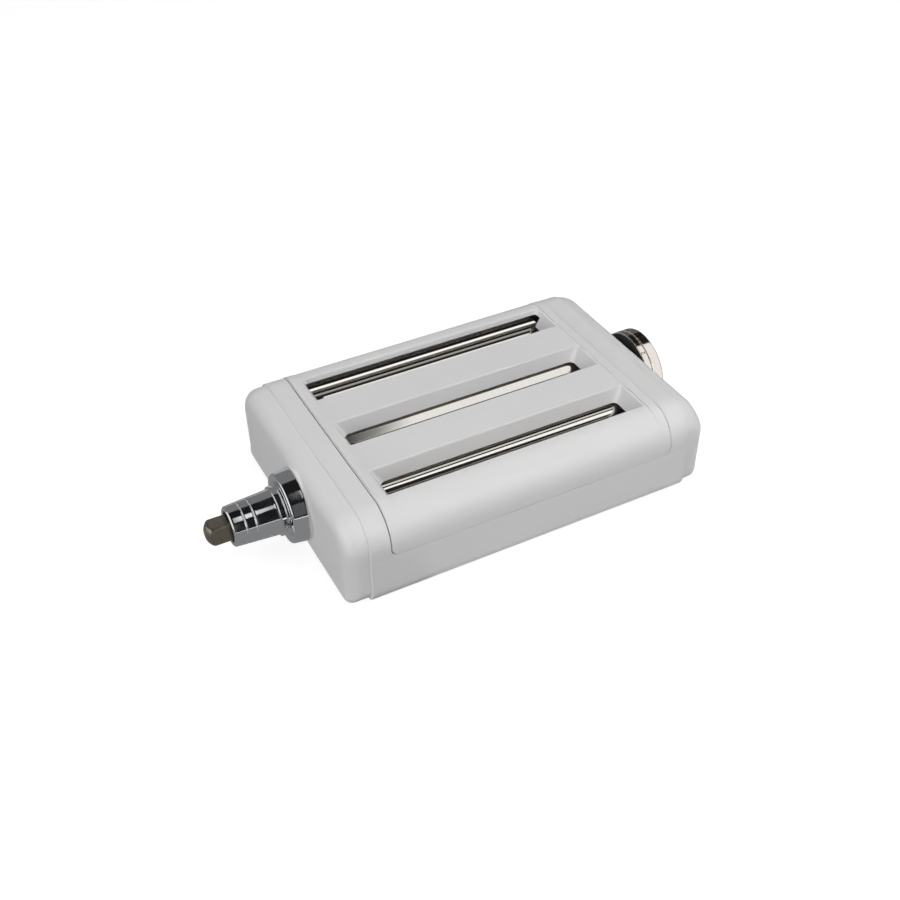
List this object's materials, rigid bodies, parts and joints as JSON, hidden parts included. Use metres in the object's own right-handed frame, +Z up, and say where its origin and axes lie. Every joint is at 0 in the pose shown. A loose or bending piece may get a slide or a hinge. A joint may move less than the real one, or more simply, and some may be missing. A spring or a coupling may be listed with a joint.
{
  "type": "pasta roller attachment",
  "caption": "White pasta roller box with three feed slots over steel roller pairs, a chromed drive shank at one end and a round thickness dial at the other.",
  "frame": {"origin": "on the surface under the base, below the middle of the overall box", "axes": "+X along the rollers towards the thickness dial, +Y towards the back, +Z up; the drive shank points to -X"},
  "size_m": [0.281, 0.1494, 0.0538],
  "materials": {
    "white_plastic": "satin moulded",
    "shank_chrome": "polished",
    "drive_steel": "satin",
    "roller_steel": "polished",
    "dial_chrome": "polished",
    "bronze": "plain",
    "plate_steel": "zinc plated",
    "gear_steel": "machined",
    "bearing_plastic": "moulded",
    "scraper_plastic": "moulded",
    "screw_steel": "zinc plated"
  },
  "bodies": {
    "housing": {"lower_housing": "white_plastic", "top_cover": "white_plastic", "left_shoulder": "white_plastic", "right_shoulder": "white_plastic", "drive_end_cap": "white_plastic", "dial_end_cap": "white_plastic", "drive_shank": "shank_chrome", "shank_bush": "bronze", "left_side_plate": "plate_steel", "right_side_plate": "plate_steel", "gear_plate": "plate_steel", "gear_plate_standoffs": "plate_steel", "tie_rods": "plate_steel", "base_bars": "plate_steel", "left_bushes": "bronze", "right_bushes": "bronze", "gear_plate_bushes": "bronze", "idler_pin": "plate_steel", "front_scrapers": "scraper_plastic", "back_scrapers": "scraper_plastic", "sheet_scraper": "scraper_plastic", "friction_washer": "plate_steel", "plate_screws": "screw_steel", "gear_plate_screws": "screw_steel", "base_screws": "screw_steel", "shank_screws": "screw_steel"},
    "drive": {"drive_shaft": "drive_steel", "sheet_front_roller": "roller_steel", "sheet_drive_gear": "gear_steel"},
    "carriage": {"left_bearing_block": "bearing_plastic", "right_bearing_block": "bearing_plastic", "carriage_bar": "plate_steel", "carriage_scraper": "scraper_plastic"},
    "sheet_rear": {"sheet_rear_roller": "roller_steel", "sheet_rear_gear": "gear_steel"},
    "dial": {"cam_disc": "plate_steel", "dial_spindle": "plate_steel", "dial_ring": "dial_chrome", "dial_grip": "dial_chrome", "dial_screw": "screw_steel"},
    "front_front": {"front_slot_front_roller": "roller_steel", "front_pair_front_gear": "gear_steel"},
    "front_rear": {"front_slot_rear_roller": "roller_steel", "front_pair_rear_gear": "gear_steel", "front_train_gear": "gear_steel"},
    "idler": {"idler_gear": "gear_steel"},
    "back_front": {"back_slot_front_roller": "roller_steel", "back_pair_front_gear": "gear_steel", "back_train_gear": "gear_steel"},
    "back_rear": {"back_slot_rear_roller": "roller_steel", "back_pair_rear_gear": "gear_steel"}
  },
  "joints": [
    {"name": "drive_spin", "type": "hinge", "parent": "housing", "child": "drive", "pos_m": [0.01955, -0.01125, 0.0265], "axis": [1, 0, 0], "continuous": true},
    {"name": "carriage_slide", "type": "slide", "parent": "housing", "child": "carriage", "axis": [0, -1, 0], "range_m": [0, 0.0022]},
    {"name": "sheet_rear_spin", "type": "hinge", "parent": "carriage", "child": "sheet_rear", "pos_m": [0.01955, 0.01243, 0.0325], "axis": [1, 0, 0], "continuous": true},
    {"name": "thickness_dial", "type": "hinge", "parent": "housing", "child": "dial", "pos_m": [0.01955, 0.0065, 0.0254], "axis": [1, 0, 0], "range_deg": [0, 315]},
    {"name": "front_rear_spin", "type": "hinge", "parent": "housing", "child": "front_rear", "pos_m": [0.01955, -0.03284, 0.033], "axis": [1, 0, 0], "continuous": true},
    {"name": "front_front_spin", "type": "hinge", "parent": "housing", "child": "front_front", "pos_m": [0.01955, -0.05524, 0.033], "axis": [1, 0, 0], "continuous": true},
    {"name": "idler_spin", "type": "hinge", "parent": "housing", "child": "idler", "pos_m": [0.01955, 0.0128, 0.02593], "axis": [1, 0, 0], "continuous": true},
    {"name": "back_front_spin", "type": "hinge", "parent": "housing", "child": "back_front", "pos_m": [0.01955, 0.0358, 0.033], "axis": [1, 0, 0], "continuous": true},
    {"name": "back_rear_spin", "type": "hinge", "parent": "housing", "child": "back_rear", "pos_m": [0.01955, 0.0582, 0.033], "axis": [1, 0, 0], "continuous": true}
  ],
  "couplings": [
    {"joint": "sheet_rear_spin", "follows": "drive_spin", "ratio": -1},
    {"joint": "front_rear_spin", "follows": "drive_spin", "ratio": -1},
    {"joint": "front_front_spin", "follows": "drive_spin", "ratio": 1},
    {"joint": "idler_spin", "follows": "drive_spin", "ratio": -0.84615},
    {"joint": "back_front_spin", "follows": "drive_spin", "ratio": 1},
    {"joint": "back_rear_spin", "follows": "drive_spin", "ratio": -1},
    {"joint": "thickness_dial", "follows": "carriage_slide", "rad_per_m": 2499}
  ]
}
